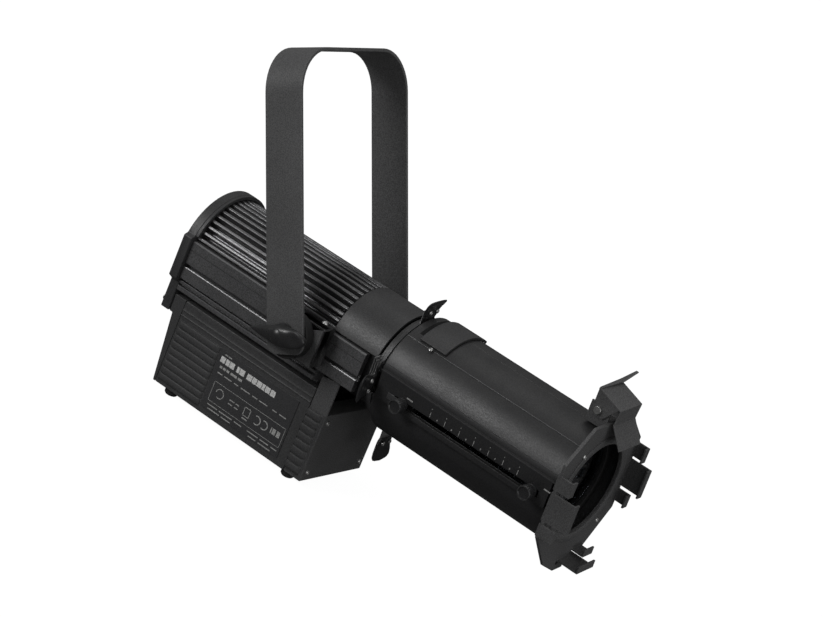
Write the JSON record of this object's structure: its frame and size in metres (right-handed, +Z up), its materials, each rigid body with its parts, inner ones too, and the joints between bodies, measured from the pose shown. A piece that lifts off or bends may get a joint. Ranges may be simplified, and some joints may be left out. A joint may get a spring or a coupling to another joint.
{
  "type": "ellipsoidal spotlight",
  "caption": "LED profile spotlight with a finned lamp house on a driver housing, a turning zoom barrel with framing shutters, a latched colour frame holder and a hanging yoke.",
  "frame": {"origin": "under the middle of the whole object's box, on the floor that its four rubber feet stand on", "axes": "+Z up, the lens faces -Y along a level optical axis, X runs along the yoke's pivots with the scale and thumb knobs on the -X side"},
  "size_m": [0.1938, 0.4638, 0.3536],
  "materials": {
    "black_paint": "fine textured satin black powder coat",
    "black_anodised": "black anodised extrusion",
    "black_plastic": "moulded black plastic",
    "window": "dark display window",
    "rubber": "black rubber",
    "steel": "plain steel",
    "glass": "clear lens glass",
    "bare_aluminium": "bare aluminium",
    "led": "yellow LED phosphor",
    "circuit_board": "green circuit board"
  },
  "bodies": {
    "housing": {"heat_sink": "black_anodised", "side_rail_left": "black_anodised", "side_rail_right": "black_anodised", "gate_cover": "black_paint", "rear_cap": "black_paint", "gate_drum": "black_paint", "driver_housing": "black_paint", "front_casting": "black_paint", "rear_panel": "black_paint", "rating_plate": "black_plastic", "foot_front_left": "rubber", "foot_front_right": "rubber", "foot_rear_left": "rubber", "foot_rear_right": "rubber", "driver_board": "circuit_board", "driver_can": "bare_aluminium", "led_heat_spreader": "bare_aluminium", "led_module": "led", "condenser_lens": "glass", "display_window": "window", "safety_lug": "steel", "power_inlet": "black_plastic", "power_outlet": "black_plastic", "data_inlet": "black_plastic", "data_outlet": "black_plastic", "pivot_block_left": "black_paint", "pivot_block_right": "black_paint", "friction_disc_left": "black_plastic", "friction_disc_right": "black_plastic"},
    "yoke": {"yoke": "black_paint"},
    "wing_knob_left": {"wing_knob_left": "black_plastic"},
    "wing_knob_right": {"wing_knob_right": "black_plastic"},
    "barrel": {"shutter_cassette": "black_paint", "cassette_cover": "black_paint", "barrel_shell_left": "black_paint", "barrel_shell_right": "black_paint", "scale_track": "black_anodised", "slot_saddle": "black_paint", "frame_holder": "black_paint", "latch_bracket": "black_paint", "latch_pin": "steel"},
    "shutter_top": {"shutter_blade_top": "steel", "shutter_grip_top": "black_plastic"},
    "shutter_left": {"shutter_blade_left": "steel", "shutter_grip_left": "black_plastic"},
    "shutter_bottom": {"shutter_blade_bottom": "steel", "shutter_grip_bottom": "black_plastic"},
    "shutter_right": {"shutter_blade_right": "steel", "shutter_grip_right": "black_plastic"},
    "zoom_carriage": {"zoom_carriage": "black_anodised", "zoom_lens": "glass"},
    "zoom_knob": {"zoom_knob": "black_plastic"},
    "focus_carriage": {"focus_carriage": "black_anodised", "focus_lens": "glass"},
    "focus_knob": {"focus_knob": "black_plastic"},
    "latch": {"holder_latch": "black_paint"},
    "button_menu": {"button_menu": "rubber"},
    "button_down": {"button_down": "rubber"},
    "button_up": {"button_up": "rubber"},
    "button_enter": {"button_enter": "rubber"}
  },
  "joints": [
    {"name": "yoke_tilt", "type": "hinge", "parent": "housing", "child": "yoke", "pos_m": [0, 0.0658, 0.1285], "axis": [1, 0, 0], "range_deg": [-70, 65]},
    {"name": "wing_knob_left_turn", "type": "hinge", "parent": "housing", "child": "wing_knob_left", "pos_m": [0, 0.0658, 0.1285], "axis": [-1, 0, 0], "range_deg": [-180, 180]},
    {"name": "wing_knob_right_turn", "type": "hinge", "parent": "housing", "child": "wing_knob_right", "pos_m": [0, 0.0658, 0.1285], "axis": [1, 0, 0], "range_deg": [-180, 180]},
    {"name": "barrel_rotation", "type": "hinge", "parent": "housing", "child": "barrel", "pos_m": [0, -0.0115, 0.13], "axis": [0, -1, 0], "range_deg": [-31, 19]},
    {"name": "shutter_top_slide", "type": "slide", "parent": "barrel", "child": "shutter_top", "axis": [-0.1045, 0, 0.9945], "range_m": [0, 0.02]},
    {"name": "shutter_left_slide", "type": "slide", "parent": "barrel", "child": "shutter_left", "axis": [-0.9945, 0, -0.1045], "range_m": [0, 0.02]},
    {"name": "shutter_bottom_slide", "type": "slide", "parent": "barrel", "child": "shutter_bottom", "axis": [0.1045, 0, -0.9945], "range_m": [-0.01, 0.01]},
    {"name": "shutter_right_slide", "type": "slide", "parent": "barrel", "child": "shutter_right", "axis": [0.9945, 0, 0.1045], "range_m": [0, 0.02]},
    {"name": "zoom_slide", "type": "slide", "parent": "barrel", "child": "zoom_carriage", "axis": [0, -1, 0], "range_m": [0, 0.06]},
    {"name": "zoom_knob_turn", "type": "hinge", "parent": "zoom_carriage", "child": "zoom_knob", "pos_m": [-0.05569, -0.0496, 0.12415], "axis": [-0.9945, 0, -0.1045], "range_deg": [-180, 180]},
    {"name": "focus_slide", "type": "slide", "parent": "barrel", "child": "focus_carriage", "axis": [0, 1, 0], "range_m": [0, 0.06]},
    {"name": "focus_knob_turn", "type": "hinge", "parent": "focus_carriage", "child": "focus_knob", "pos_m": [-0.05569, -0.1886, 0.12415], "axis": [-0.9945, 0, -0.1045], "range_deg": [-180, 180]},
    {"name": "latch_swing", "type": "hinge", "parent": "barrel", "child": "latch", "pos_m": [-0.00046, -0.1964, 0.20134], "axis": [-0.9945, 0, -0.1045], "range_deg": [0, 100]},
    {"name": "button_menu_press", "type": "slide", "parent": "housing", "child": "button_menu", "axis": [0, -1, 0], "range_m": [0, 0.0015], "stiffness_N_per_m": 300, "springref_m": -0.001},
    {"name": "button_down_press", "type": "slide", "parent": "housing", "child": "button_down", "axis": [0, -1, 0], "range_m": [0, 0.0015], "stiffness_N_per_m": 300, "springref_m": -0.001},
    {"name": "button_up_press", "type": "slide", "parent": "housing", "child": "button_up", "axis": [0, -1, 0], "range_m": [0, 0.0015], "stiffness_N_per_m": 300, "springref_m": -0.001},
    {"name": "button_enter_press", "type": "slide", "parent": "housing", "child": "button_enter", "axis": [0, -1, 0], "range_m": [0, 0.0015], "stiffness_N_per_m": 300, "springref_m": -0.001}
  ]
}
